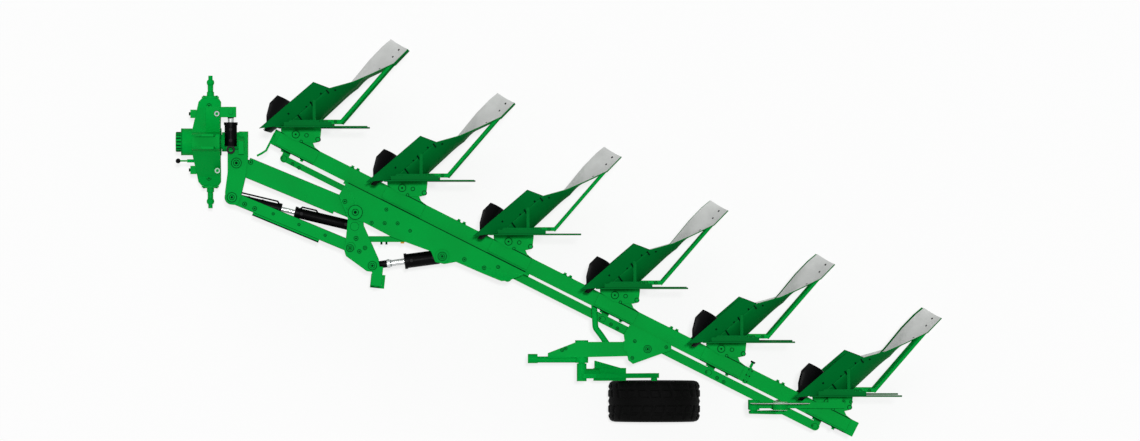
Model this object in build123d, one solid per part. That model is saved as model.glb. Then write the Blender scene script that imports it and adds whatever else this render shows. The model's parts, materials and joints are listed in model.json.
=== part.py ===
"""A mounted six-furrow reversible plough with adjustable furrow width, parked on its lower bodies.

Millimetres. +X points rearwards, +Y to the ploughed side and +Z up. The origin is on the ground
under the middle of the machine's outline. The upper bodies mirror the lower ones about the beam.
"""
import os
from math import asin, atan2, cos, degrees, radians, sin

from build123d import *

os.makedirs("parts", exist_ok=True)

# Driving dimensions of the whole machine
BODY_COUNT = 6
BODY_SPACING = 1000.0
FURROW_WIDTH = 450.0
UNDERBEAM_CLEARANCE = 800.0
BEAM_SIZE = 130.0
BEAM_WALL = 10.0
FIRST_TIP = Vector(-2505.0, 894.0)
GAP = 5.0
PIN_CLEARANCE = 0.05

BEAM_Z = UNDERBEAM_CLEARANCE + BEAM_SIZE / 2
BEAM_ANGLE = degrees(asin(FURROW_WIDTH / BODY_SPACING))
ALONG = Vector(cos(radians(BEAM_ANGLE)), -sin(radians(BEAM_ANGLE)))
ACROSS = Vector(sin(radians(BEAM_ANGLE)), cos(radians(BEAM_ANGLE)))
MIRROR_PLANE = Plane.XY.offset(BEAM_Z)

# Beam, and the lugs that carry the body consoles
PLATE = 15.0
BEAM_FRONT_OVERHANG = 169.0
BEAM_REAR_OVERHANG = 314.0
BEAM_CAP = 10.0
PIVOT_FROM_TIP = Vector(299.0, -37.0)
PIVOT_OFFSET = 101.0
PIVOT_PIN_RADIUS = 22.0
LUG_RADIUS = 48.0
LUG_HALF_LENGTH = 122.0
LUG_HEEL = 243.0
FLANGE_STATION = 4300.0
FLANGE_THICKNESS = 14.0
FLANGE_PROUD = 6.0

LUG_BOTTOM = BEAM_Z - BEAM_SIZE / 2 - PLATE
FIRST_PIVOT = FIRST_TIP + PIVOT_FROM_TIP
BEAM_START = FIRST_PIVOT - ACROSS * PIVOT_OFFSET

# Control rod that keeps the bodies in line with the direction of travel
ROD_OFFSET = -125.0
ROD_WIDTH = 75.0
ROD_FRONT_WIDTH = 52.0
ROD_HEIGHT = 20.0
ROD_PIN_RADIUS = 15.0
ROD_FRONT_SECTION = 1400.0
LEVER_EYE_RADIUS = 34.0


def beam_point(station, offset):
    """The plan position of a point given along and across the beam."""
    return BEAM_START + ALONG * station + ACROSS * offset


def on_beam(shape):
    """Moves a shape from the beam's own axes to its place."""
    return Pos(BEAM_START.X, BEAM_START.Y, 0) * Rot(0, 0, -BEAM_ANGLE) * shape


def block(x0, x1, y0, y1, z0, z1):
    return Pos((x0 + x1) / 2, (y0 + y1) / 2, (z0 + z1) / 2) * Box(x1 - x0, y1 - y0, z1 - z0)


def upright(x, y, radius, z0, z1):
    """A vertical round bar from z0 to z1."""
    return Pos(x, y, (z0 + z1) / 2) * Cylinder(radius, z1 - z0)


def plate(points, z0, z1, radius=0.0):
    """A flat plate with that plan outline, and its corners rounded."""
    outline = make_face(Polyline(*points, close=True))
    if radius:
        outline = fillet(outline.vertices(), radius)
    return Pos(0, 0, z0) * extrude(outline, z1 - z0)


def side_plate(points, y0, y1, radius=0.0):
    """A plate standing across the Y axis, with an outline of X and Z points."""
    outline = make_face(Polyline(*points, close=True))
    if radius:
        outline = fillet(outline.vertices(), radius)
    return Pos(0, y1, 0) * (Rot(90, 0, 0) * extrude(outline, y1 - y0))


def bar_between(start, end, radius):
    """A round bar from one point in space to another."""
    run = Vector(*end) - Vector(*start)
    return extrude(Plane(origin=start, z_dir=run) * Circle(radius), run.length)


def upper(shape):
    """The same shape on the upper side of the beam."""
    return mirror(shape, about=MIRROR_PLANE)


def both(shape):
    return Compound([shape, upper(shape)])


def joined(*shapes):
    whole = shapes[0]
    for shape in shapes[1:]:
        whole = whole + shape
    return whole


def save(name, shape):
    solids = [s for s in shape.solids()]
    export_step(Compound(solids) if len(solids) > 1 else solids[0], f"parts/{name}.step")


# Beam, in its own axes: stations along X from the first console, offsets along Y
def make_beam():
    start, end = -BEAM_FRONT_OVERHANG, (BODY_COUNT - 1) * BODY_SPACING + BEAM_REAR_OVERHANG
    half = BEAM_SIZE / 2
    tube = block(start, end, -half, half, BEAM_Z - half, BEAM_Z + half)
    inner = half - BEAM_WALL
    tube -= block(start + BEAM_CAP, end - BEAM_CAP, -inner, inner, BEAM_Z - inner, BEAM_Z + inner)
    flange = half + FLANGE_PROUD
    for side in (-1, 1):
        middle = FLANGE_STATION + side * (FLANGE_THICKNESS / 2 + 0.5)
        ring = Pos(middle, 0, BEAM_Z) * (
            Box(FLANGE_THICKNESS, 2 * flange, 2 * flange) - Box(FLANGE_THICKNESS, BEAM_SIZE, BEAM_SIZE)
        )
        tube += ring
    return on_beam(tube)


def make_lugs():
    """Top and bottom lug of every console, welded to the beam's faces."""
    half = BEAM_SIZE / 2
    outline = [
        (-LUG_HALF_LENGTH, -half + 20),
        (LUG_HEEL, -half + 20),
        (LUG_HEEL, half),
        (LUG_HEEL - 55, half + 11),
        (LUG_HEEL - 85, half + 37),
        (LUG_RADIUS - 4, PIVOT_OFFSET + 16),
        (4 - LUG_RADIUS, PIVOT_OFFSET + 16),
        (-LUG_HALF_LENGTH, half),
    ]
    lug = plate(outline, LUG_BOTTOM, LUG_BOTTOM + PLATE)
    lug += upright(0, PIVOT_OFFSET, LUG_RADIUS, LUG_BOTTOM, LUG_BOTTOM + PLATE)
    lug -= upright(0, PIVOT_OFFSET, PIVOT_PIN_RADIUS, LUG_BOTTOM, LUG_BOTTOM + PLATE)
    lugs = []
    for k in range(BODY_COUNT):
        placed = on_beam(Pos(k * BODY_SPACING, 0, 0) * lug)
        lugs += [placed, upper(placed)]
    return Compound(lugs)


# Consoles: one per station, turning on an upright pin at the beam and steered by the control rod
CONSOLE_PLATE = 25.0
CONSOLE_PLAN = [(-125, 96), (-125, 24), (-20, -50), (70, -70), (150, -72), (200, -60), (211, 40), (211, 96)]
CONSOLE_WEB_X = (-22.0, 120.0)
CONSOLE_WEB_Y = (58.0, 92.0)
CONSOLE_HOLES = [(178, -42), (90, -8)]
LEG_X = (-18.0, 142.0)
LEG_THICKNESS = 34.0
LEG_FROM_TIP_Y = 26.0
LEVER_WIDTH = 62.0
LEVER_THICKNESS = 22.0

CONSOLE_BOTTOM = LUG_BOTTOM - GAP - CONSOLE_PLATE
LEVER_EYE = Vector(0, ROD_OFFSET - PIVOT_OFFSET)
LEVER_BOTTOM = 690.0
ROD_BOTTOM = LEVER_BOTTOM + LEVER_THICKNESS + GAP


def pivot_point(k):
    return FIRST_PIVOT + ALONG * (k * BODY_SPACING)


def place_body(shape, k):
    """Copies a shape, drawn from the first console's pivot, to console k."""
    at = pivot_point(k)
    return Pos(at.X, at.Y, 0) * shape


def make_console():
    """One console with its lower and upper plate, its web and the steering lever."""
    flange = plate(CONSOLE_PLAN, CONSOLE_BOTTOM, CONSOLE_BOTTOM + CONSOLE_PLATE, 14)
    for x, y in CONSOLE_HOLES:
        flange -= upright(x, y, 11, CONSOLE_BOTTOM, CONSOLE_BOTTOM + CONSOLE_PLATE)
    top = upper(flange)
    web = block(*CONSOLE_WEB_X, *CONSOLE_WEB_Y, CONSOLE_BOTTOM, 2 * BEAM_Z - CONSOLE_BOTTOM)
    web -= Pos(50, 75, BEAM_Z) * Rot(90, 0, 0) * Cylinder(34, 60)
    eye = Rot(0, 0, -BEAM_ANGLE) * Pos(LEVER_EYE.X, LEVER_EYE.Y, 0)
    lever = Rot(0, 0, -BEAM_ANGLE) * block(
        -LEVER_WIDTH / 2, LEVER_WIDTH / 2, LEVER_EYE.Y, 96, LEVER_BOTTOM, LEVER_BOTTOM + LEVER_THICKNESS
    )
    lever += eye * upright(0, 0, LEVER_EYE_RADIUS, LEVER_BOTTOM, LEVER_BOTTOM + LEVER_THICKNESS)
    body = joined(flange, top, web, lever)
    hole = PIVOT_PIN_RADIUS + PIN_CLEARANCE
    for z in (CONSOLE_BOTTOM, 2 * BEAM_Z - CONSOLE_BOTTOM - CONSOLE_PLATE):
        body -= upright(0, 0, hole, z, z + CONSOLE_PLATE)
    body -= eye * upright(0, 0, ROD_PIN_RADIUS + PIN_CLEARANCE, LEVER_BOTTOM, LEVER_BOTTOM + LEVER_THICKNESS)
    return body


def make_pivot_pin():
    """The pin that a console turns on, through both lugs, with a washer and nut at each end."""
    reach = BEAM_Z - CONSOLE_BOTTOM + GAP
    pin = Pos(0, 0, BEAM_Z) * Cylinder(PIVOT_PIN_RADIUS, 2 * reach)
    for side in (-1, 1):
        pin += Pos(0, 0, BEAM_Z + side * (reach + 6)) * Cylinder(PIVOT_PIN_RADIUS + 11, 12)
    return pin


def make_steering_pin():
    """The pin between a console's lever and the control rod, and its collars."""
    low, high = LEVER_BOTTOM - GAP, ROD_BOTTOM + ROD_HEIGHT + 5
    pin = upright(0, 0, ROD_PIN_RADIUS, low, high)
    pin += upright(0, 0, ROD_PIN_RADIUS + 8, low - 8, low)
    pin += upright(0, 0, ROD_PIN_RADIUS + 9, ROD_BOTTOM + ROD_HEIGHT, high)
    return Rot(0, 0, -BEAM_ANGLE) * Pos(LEVER_EYE.X, LEVER_EYE.Y, 0) * pin


def make_control_rod():
    """Flat rod beside the beam, wider behind its front section, with rounded ends."""
    y, z0, z1 = ROD_OFFSET, ROD_BOTTOM, ROD_BOTTOM + ROD_HEIGHT
    end = (BODY_COUNT - 1) * BODY_SPACING
    half, front = ROD_WIDTH / 2, ROD_FRONT_WIDTH / 2
    rod = block(0, ROD_FRONT_SECTION, y - front, y + front, z0, z1) + upright(0, y, front, z0, z1)
    rod += block(ROD_FRONT_SECTION - 60, end, y - half, y + half, z0, z1) + upright(end, y, half, z0, z1)
    rod = on_beam(rod)
    for k in range(BODY_COUNT):
        at = pivot_point(k)
        rod -= Pos(at.X, at.Y, 0) * Rot(0, 0, -BEAM_ANGLE) * upright(LEVER_EYE.X, LEVER_EYE.Y, ROD_PIN_RADIUS, z0, z1)
    return rod


# Plough body: drawn from its share's point, lower set with its base on the ground
LANDSIDE_Y = 17.0
LANDSIDE_THICKNESS = 13.0
LANDSIDE_HEIGHT = 150.0
LANDSIDE_X = (138.0, 909.0)
SHARE_THICKNESS = 12.0
BOARD_THICKNESS = 9.0
FRONT_DEPTH = 260.0
SHARE_EDGE = [(3, 8, 0), (100, 82, 0), (458, 398, 4)]
SHARE_BACK = [(590, 348, 82), (228, 34, 82)]
# Ribs of the mouldboard: bottom, middle and top point of each, from the shin to the tail
BOARD_RIBS = [
    ((214, 22, 80), (304, -81, 270), (276, -50, 470)),
    ((403, 186, 80), (493, 83, 280), (464, 114, 490)),
    ((587, 346, 82), (672, 249, 300), (655, 272, 500)),
    ((788, 402, 120), (812, 361, 310), (800, 440, 505)),
    ((940, 468, 170), (931, 500, 340), (923, 590, 508)),
    ((1126, 556, 250), (1100, 604, 380), (1030, 700, 496)),
    ((1243, 676, 325), (1190, 702, 400), (1101, 759, 468)),
]


def rib_face(low, mid, top):
    """The section of the mouldboard's plate at one rib, thick towards its back."""
    low, mid, top = Vector(*low), Vector(*mid), Vector(*top)
    back = (mid - (low + top) * 0.5).normalized() * BOARD_THICKNESS
    front_arc = ThreePointArc(low, mid, top)
    back_arc = ThreePointArc(low + back, mid + back, top + back)
    edges = [front_arc, Line(top, top + back), back_arc, Line(low + back, low)]
    return Face(Wire([e.edge() for e in edges]))


def make_board():
    board = loft([rib_face(*rib) for rib in BOARD_RIBS], ruled=True)
    land_side = block(-200, 1500, -400, LANDSIDE_Y + LANDSIDE_THICKNESS, -50, 900)
    return board - land_side - make_share()


def board_front():
    """The space ahead of the mouldboard's back, which no piece behind it enters."""
    sections = []
    for low, mid, top in BOARD_RIBS:
        low, mid, top = Vector(*low), Vector(*mid), Vector(*top)
        back = (mid - (low + top) * 0.5).normalized()
        shift, ahead = back * BOARD_THICKNESS, back * -FRONT_DEPTH
        arc = ThreePointArc(low + shift, mid + shift, top + shift)
        edges = [arc, Line(top + shift, top + ahead), Line(top + ahead, low + ahead), Line(low + ahead, low + shift)]
        sections.append(Face(Wire([e.edge() for e in edges])))
    return loft(sections, ruled=True)


def share_front():
    """The space above and ahead of the share's lower face."""
    nose, wing = Vector(*SHARE_EDGE[0]), Vector(*SHARE_EDGE[2])
    sections = []
    for front, heel in ((nose, Vector(*SHARE_BACK[1])), (wing, Vector(*SHARE_BACK[0]))):
        rise = Vector(0, 0, SHARE_THICKNESS * 10)
        ring = Polyline(front, heel, heel + rise, front + rise, close=True)
        sections.append(Face(Wire(ring.edges())))
    return loft(sections, ruled=True)


def make_share():
    """The share's blade, with its point bent down to the ground and its lower face hollow."""
    edge = [Vector(*p) for p in SHARE_EDGE]
    back = [Vector(*p) for p in SHARE_BACK]
    lift = Vector(0, 0, SHARE_THICKNESS)
    front, wing = edge[0], edge[2]
    sections = []
    for nose, heel in ((front, back[1]), (wing, back[0])):
        sections.append(Face(Wire(Polyline(nose, heel, heel + lift, nose + lift * 0.4, close=True).edges())))
    return loft(sections, ruled=True)


def make_landside():
    x0, x1 = LANDSIDE_X
    points = [(x0, 12), (x0 + 60, 0), (x1, 0), (x1, LANDSIDE_HEIGHT - 40), (x1 - 120, LANDSIDE_HEIGHT),
              (x0 + 120, LANDSIDE_HEIGHT)]
    return side_plate(points, LANDSIDE_Y, LANDSIDE_Y + LANDSIDE_THICKNESS)


def make_leg():
    """Leg from the console down to the frog, with the frog's back plate and floor."""
    y0 = LEG_FROM_TIP_Y + 4
    y1 = y0 + LEG_THICKNESS
    dx = PIVOT_FROM_TIP.X
    lx0, lx1 = dx + LEG_X[0], dx + LEG_X[1]
    points = [(lx0, CONSOLE_BOTTOM + 60), (lx1, CONSOLE_BOTTOM + 60), (lx1, 470), (lx1 + 50, 330), (lx1 + 150, 200),
              (lx1 + 170, 40), (lx0 - 70, 40), (lx0 - 20, 220), (lx0, 430)]
    leg = side_plate(points, y0, y1)
    floor = plate([(lx0 - 60, y0), (lx1 + 160, y0), (lx1 + 130, y0 + 50), (lx0 - 20, y0 + 50)], 44, 70)
    rib = block(lx1 + 10, lx1 + 36, y0, 250, 70, 300)
    return joined(leg, floor, rib, make_stay()) - board_front() - share_front()


def make_stay():
    """The round stay from the frog to the mouldboard's tail, and the bar that holds both."""
    holder = block(500, 690, 52, 84, 300, 326)
    stay = bar_between((678, 56, 313), (1138, 588, 300), 15)
    return joined(holder, stay)


# Skimmer ahead of each share, on a stalk from the leg, drawn from the share's point
SKIM_STALK = Vector(180.0, 40.0)
SKIM_STALK_RADIUS = 20.0
SKIM_CLAMP_Z = 640.0
SKIM_CLAMP_HALF = 26.0
# Ribs of the skimmer's blade: bottom, middle and top point of each
SKIM_RIBS = [
    ((40, -8, 215), (75, -14, 300), (60, 6, 400)),
    ((120, 75, 215), (150, 45, 310), (58, 120, 425)),
    ((205, 160, 235), (205, 150, 330), (85, 225, 430)),
    ((258, 216, 290), (240, 240, 360), (150, 290, 415)),
]
# Plan of the foot that joins the blade's back to the stalk
SKIM_FOOT = [(138, 18), (200, 18), (200, 64), (178, 84)]


def make_skimmer_on_stalk():
    """A small body of its own: a curved blade on a round stalk, clamped at the leg's top."""
    x, y = SKIM_STALK.X, SKIM_STALK.Y
    blade = loft([rib_face(*rib) for rib in SKIM_RIBS], ruled=True)
    stalk = upright(x, y, SKIM_STALK_RADIUS, 275, SKIM_CLAMP_Z + 60)
    low, high = SKIM_CLAMP_Z - SKIM_CLAMP_HALF, SKIM_CLAMP_Z + SKIM_CLAMP_HALF
    clamp = block(x - 28, PIVOT_FROM_TIP.X + LEG_X[0], y - 20, y + 20, low, high)
    foot = plate(SKIM_FOOT, 262, 392)
    return joined(stalk, clamp, foot, blade)


def body_solids(maker, k):
    """The lower and the upper copy of one piece of body k."""
    shape = place_body(Pos(-PIVOT_FROM_TIP.X, -PIVOT_FROM_TIP.Y, 0) * maker(), k)
    return [shape, upper(shape)]


# Depth of the front linkage's pieces, measured up and down from the beam's middle
ARM_HALF = 72.0
LEVER_LAYER = (77.0, 95.0)
FRAME_LAYER = (100.0, 118.0)
LINK_PIN_RADIUS = 25.0
UPPER_ARM_WIDTH = 170.0
UPPER_ARM_WIDE_END = 880.0

# Pivots of the front linkage: the head's two, the swing lever's three and the frame's
HEAD_UPPER = Vector(-2705, 617)
HEAD_LOWER = Vector(-2743, 329)
LEVER_FRAME = Vector(-1706, 203)
LEVER_ARM = Vector(HEAD_LOWER.X + LEVER_FRAME.X - HEAD_UPPER.X, HEAD_LOWER.Y + LEVER_FRAME.Y - HEAD_UPPER.Y)
LEVER_CYLINDER = Vector(-1563, -245)
FRAME_CYLINDER = Vector(-976, -167)
WIDTH_EYE = Vector(-1712, 84)


STAND_PIVOT = Vector(-1530, -380)
STAND_TURN = -6.0
STAND_LENGTH = 848.0
STAND_PIN_RADIUS = 14.0
STAND_HALF = 20.0
CHEEK = 10.0


def at_stand(shape):
    """Moves a shape from the stand's own axes to its pivot."""
    return Pos(STAND_PIVOT.X, STAND_PIVOT.Y, 0) * Rot(0, 0, STAND_TURN) * shape


def layers(points, depth, radius=0.0):
    """The same plate twice, above and below the beam's middle."""
    low, high = depth
    under = plate(points, BEAM_Z - high, BEAM_Z - low, radius)
    return joined(under, upper(under))


def pin_at(point, half, radius=LINK_PIN_RADIUS, head=10.0):
    """An upright pin with a round head at each end."""
    pin = Pos(point.X, point.Y, BEAM_Z) * Cylinder(radius, 2 * half)
    for side in (-1, 1):
        pin += Pos(point.X, point.Y, BEAM_Z + side * (half + head / 2)) * Cylinder(radius + 12, head)
    return pin


def hole_at(point, radius=LINK_PIN_RADIUS, clearance=0.0):
    return Pos(point.X, point.Y, BEAM_Z) * Cylinder(radius + clearance, 600)


def make_frame_plates():
    """Upper and lower plate on the beam's side, with the swing lever and its cylinder between."""
    front, rear = beam_point(560, -78), beam_point(2250, -78)
    outline = [(front.X, front.Y), (-1846, 345), (-1770, 150), (-1640, 120), (-1400, -5), (-1071, -125), (-1035, -215),
               (-960, -232), (-860, -214), (-640, -310), (-480, -375), (-420, -372), (rear.X, rear.Y)]
    plates = layers(outline, FRAME_LAYER, 12)
    for point in (LEVER_FRAME, FRAME_CYLINDER):
        for side in (-1, 1):
            z = BEAM_Z + side * (FRAME_LAYER[1] + 6)
            plates += Pos(point.X, point.Y, z) * Cylinder(58, 12)
    plates -= hole_at(LEVER_FRAME, clearance=PIN_CLEARANCE) + hole_at(FRAME_CYLINDER)
    web = on_beam(block(540, 2280, -BEAM_SIZE / 2 - 22, -BEAM_SIZE / 2, BEAM_Z - FRAME_LAYER[1], BEAM_Z + FRAME_LAYER[1]))
    spar = block(1300, 2130, -208, -140, BEAM_Z - FRAME_LAYER[0], BEAM_Z + FRAME_LAYER[0])
    spar += upright(2130, -174, 34, BEAM_Z - FRAME_LAYER[0], BEAM_Z + FRAME_LAYER[0])
    return joined(plates, web, on_beam(spar))


def make_swing_lever():
    outline = [(-1762, 225), (-1740, 255), (-1690, 262), (-1650, 225), (-1636, 90), (-1512, -190), (-1502, -262),
               (-1545, -300), (-1610, -292), (-1785, -165), (-1805, -100), (-1790, -60)]
    lever = layers(outline, LEVER_LAYER, 14)
    lever += Pos(LEVER_ARM.X + 72, LEVER_ARM.Y - 120, BEAM_Z) * Cylinder(22, 2 * LEVER_LAYER[1])
    inner = STAND_HALF + GAP
    top, under_plate = BEAM_Z + LEVER_LAYER[1], BEAM_Z + LEVER_LAYER[0]
    for y0 in (-inner - CHEEK, inner):
        cheek = [(-45, STAND_LENGTH - 45), (45, STAND_LENGTH - 45), (45, top), (-45, top)]
        lever += at_stand(side_plate(cheek, y0, y0 + CHEEK))
    lever += at_stand(block(-45, 45, -inner - CHEEK, 130, under_plate, top))
    lever += at_stand(block(-45, -10, inner, 85, STAND_LENGTH - 45, under_plate))
    for point in (LEVER_FRAME, LEVER_ARM, LEVER_CYLINDER, WIDTH_EYE):
        lever -= hole_at(point)
    return lever - at_stand(along_y(-80, 80, 0, STAND_LENGTH, STAND_PIN_RADIUS))


def link_bar(start, end, width, hub, clearance):
    """A box-section link with a round hub at each pivot."""
    run = end - start
    turn = degrees(atan2(run.Y, run.X))
    bar = Pos(0, 0, BEAM_Z) * Pos(run.length / 2, 0, 0) * Box(run.length - 60, width, 2 * ARM_HALF)
    for x in (0, run.length):
        bar += Pos(x, 0, BEAM_Z) * Cylinder(hub, 2 * ARM_HALF)
    for x in (0, run.length):
        bar -= Pos(x, 0, BEAM_Z) * Cylinder(LINK_PIN_RADIUS + clearance, 2 * ARM_HALF)
    return Pos(start.X, start.Y, 0) * Rot(0, 0, turn) * bar


def make_upper_arm():
    """Box arm of the front linkage, wider over its first part behind the head."""
    arm = link_bar(HEAD_UPPER, LEVER_FRAME, 130, 66, PIN_CLEARANCE)
    run = LEVER_FRAME - HEAD_UPPER
    wide = Pos(UPPER_ARM_WIDE_END / 2 + 60, 0, BEAM_Z) * Box(UPPER_ARM_WIDE_END - 60, UPPER_ARM_WIDTH, 2 * ARM_HALF)
    return arm + Pos(HEAD_UPPER.X, HEAD_UPPER.Y, 0) * Rot(0, 0, degrees(atan2(run.Y, run.X))) * wide


def make_lower_arm():
    """Two plates with a web along the outer edge, open in the middle for the width cylinder."""
    run = LEVER_ARM - HEAD_LOWER
    turn = degrees(atan2(run.Y, run.X))
    plates = []
    for side in (-1, 1):
        flat = Pos(run.length / 2, 0, BEAM_Z + side * (ARM_HALF - 9)) * Box(run.length, 100, 18)
        for x in (0, run.length):
            flat += Pos(x, 0, BEAM_Z + side * (ARM_HALF - 9)) * Cylinder(62, 18)
            flat -= Pos(x, 0, BEAM_Z) * Cylinder(LINK_PIN_RADIUS + PIN_CLEARANCE + (2 if x == 0 else 0), 400)
        plates.append(flat)
    web = Pos(run.length / 2, -42, BEAM_Z) * Box(run.length - 240, 16, 2 * ARM_HALF)
    return Pos(HEAD_LOWER.X, HEAD_LOWER.Y, 0) * Rot(0, 0, turn) * joined(*plates, web)


# Turnover: head, shaft and headstock share the axis along X
TURN_Y = 795.0
SHAFT_RADIUS = 60.0
HOUSING_RADIUS = 113.0
HOUSING_X = (-3171.0, -2832.0)
HEADSTOCK_X = (-3072.0, -2841.0)
HEAD_X = (-2685.0, -2609.0)
CROSS_SHAFT_X = -2930.0
CROSS_SHAFT_Z = 640.0
CROSS_SHAFT_RADIUS = 30.5
NECK_RADIUS = 23.5
HITCH_WIDTH = 1000.0
HITCH_PIN_RADIUS = 18.3
BALL_SEAT_RADIUS = 21.0
BALL_WIDTH = 45.0
BALL_RADIUS = 32.0
TOP_PIN_RADIUS = 16.0
MAST_HEIGHT = 620.0
TURN_CYLINDER_Z = 1060.0
EYE_HALF = 30.0
TURN_ROD_EYE = Vector(-2750, 1043)
TURN_BARREL_EYE = Vector(-2750, 730)


def along_x(x0, x1, y, z, radius):
    return Pos((x0 + x1) / 2, y, z) * Rot(0, 90, 0) * Cylinder(radius, x1 - x0)


def along_y(y0, y1, x, z, radius):
    return Pos(x, (y0 + y1) / 2, z) * Rot(90, 0, 0) * Cylinder(radius, y1 - y0)


def front_plate(points, x0, x1, radius=0.0):
    """A plate across the X axis, with an outline of Y and Z points."""
    outline = make_face(Polyline(*points, close=True))
    if radius:
        outline = fillet(outline.vertices(), radius)
    return Pos(x0, 0, 0) * (Plane.YZ.location * extrude(outline, x1 - x0))


def make_turning_head():
    block_part = block(*HEAD_X, 700, 882, BEAM_Z - 105, BEAM_Z + 105)
    outline = [(-2779, 725), (-2779, 536), (-2801, 370), (-2795, 300), (-2755, 268), (-2700, 262), (-2670, 330),
               (-2628, 505), (HEAD_X[1], 670), (HEAD_X[1], 730)]
    cheeks = layers(outline, LEVER_LAYER, 12)
    cheeks -= hole_at(HEAD_UPPER) + hole_at(HEAD_LOWER)
    shaft = along_x(HOUSING_X[0] + 12, HEAD_X[0] + 10, TURN_Y, BEAM_Z, SHAFT_RADIUS)
    collar = along_x(HOUSING_X[1] + GAP, HEAD_X[0] + 2, TURN_Y, BEAM_Z, SHAFT_RADIUS + 22)
    crank = front_plate([(700, 960), (840, 960), (800, 1110), (690, 1110)], HEAD_X[0], HEAD_X[0] + 45)
    return joined(block_part, cheeks, shaft, collar, crank)


def make_headstock():
    """Housing of the turnover shaft on an arched cross member, with the mast for the top link."""
    x0, x1 = HEADSTOCK_X
    outline = [(-369, 585), (-369, 700), (-290, 760), (-150, 960), (-80, 1050), (-60, 1200), (60, 1200), (80, 1050),
               (150, 960), (290, 760), (369, 700), (369, 585), (250, 585), (150, 690), (-150, 690), (-250, 585)]
    outline = [(TURN_Y + y, z) for y, z in outline]
    plan = [(x0, -114), (x0 + 43, -337), (x0 + 74, -372), (x1 - 22, -372), (x1, -337)]
    plan = [(x, TURN_Y + y) for x, y in plan] + [(x, TURN_Y - y) for x, y in reversed(plan)]
    arch = front_plate(outline, x0, x1, 20) & plate(plan, 500, 1300)
    housing = along_x(*HOUSING_X, TURN_Y, BEAM_Z, HOUSING_RADIUS)
    cap = along_x(HOUSING_X[0] - 45, HOUSING_X[0] + 2, TURN_Y, BEAM_Z, 80)
    whole = joined(arch, housing)
    whole -= along_x(HOUSING_X[0] + 2, HOUSING_X[1], TURN_Y, BEAM_Z, SHAFT_RADIUS + PIN_CLEARANCE)
    whole += cap
    wing = [(TURN_Y + 60, 900), (1090, 1000), (1090, 1112), (985, 1112), (TURN_Y + 60, 1040)]
    whole += front_plate(wing, -2960, x1) - along_x(HOUSING_X[0] + 2, HOUSING_X[1], TURN_Y, BEAM_Z, HOUSING_RADIUS - 10)
    for side in (-1, 1):
        whole += along_y(TURN_Y + side * 369 - 20, TURN_Y + side * 369 + 20, CROSS_SHAFT_X, CROSS_SHAFT_Z, 62)
    whole -= along_y(TURN_Y - 400, TURN_Y + 400, CROSS_SHAFT_X, CROSS_SHAFT_Z, CROSS_SHAFT_RADIUS)
    return joined(whole, make_mast())


def make_turn_bracket():
    """Two ears on the headstock for the rod's eye of the turnover cylinder, and their pin."""
    eye, reach = TURN_ROD_EYE, EYE_HALF + 30
    ears = upright(eye.X, eye.Y, 20, TURN_CYLINDER_Z - reach, TURN_CYLINDER_Z + reach)
    for side in (-1, 1):
        z = TURN_CYLINDER_Z + side * (EYE_HALF + 10)
        ears += block(HEADSTOCK_X[1], -2705, 1000, 1088, z - 9, z + 9)
    return ears


def make_mast():
    z0 = BEAM_Z + 180
    z1 = CROSS_SHAFT_Z + MAST_HEIGHT + 60
    plates = []
    for side in (-1, 1):
        y = TURN_Y + side * 52
        cheek = side_plate([(-3060, z0), (-2860, z0), (-2890, z1), (-2990, z1), (-3060, z1 - 90)], y - 10, y + 10)
        cheek -= along_y(y - 10, y + 10, -2945, CROSS_SHAFT_Z + MAST_HEIGHT, TOP_PIN_RADIUS)
        plates.append(cheek)
    return joined(*plates, block(-3040, -2880, TURN_Y - 50, TURN_Y + 50, z0, z0 + 40))


def make_cross_shaft():
    shaft = along_y(TURN_Y - 422, TURN_Y + 422, CROSS_SHAFT_X, CROSS_SHAFT_Z, CROSS_SHAFT_RADIUS)
    neck = HITCH_WIDTH / 2 - BALL_WIDTH / 2
    shaft += along_y(TURN_Y - neck, TURN_Y + neck, CROSS_SHAFT_X, CROSS_SHAFT_Z, NECK_RADIUS)
    seat, reach = HITCH_WIDTH / 2 + BALL_WIDTH / 2, HITCH_WIDTH / 2 + 58
    shaft += along_y(TURN_Y - seat, TURN_Y + seat, CROSS_SHAFT_X, CROSS_SHAFT_Z, BALL_SEAT_RADIUS)
    return shaft + along_y(TURN_Y - reach, TURN_Y + reach, CROSS_SHAFT_X, CROSS_SHAFT_Z, HITCH_PIN_RADIUS)


def make_link_balls():
    balls = []
    for side in (-1, 1):
        y = TURN_Y + side * HITCH_WIDTH / 2
        centre = Pos(CROSS_SHAFT_X, y, CROSS_SHAFT_Z)
        ball = (centre * Sphere(BALL_RADIUS)) & (centre * Box(80, BALL_WIDTH, 80))
        balls.append(ball - along_y(y - 40, y + 40, CROSS_SHAFT_X, CROSS_SHAFT_Z, BALL_SEAT_RADIUS))
    return Compound(balls)


# Hydraulic cylinders. Each runs from the eye of its rod to the eye of its barrel.
EYE_RADIUS = 36.0
ROD_FIT = 0.05
OPEN_EYE_CLEARANCE = 3.0
ROD_IN_BARREL = 80.0
STROKE_ROOM = 50.0
COLLAR_LENGTH = 24.0
COLLAR_PROUD = 6.0


def cylinder_frame(rod_eye, barrel_eye, z):
    run = barrel_eye - rod_eye
    return Pos(rod_eye.X, rod_eye.Y, z) * Rot(0, 0, degrees(atan2(run.Y, run.X))), run.length


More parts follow.
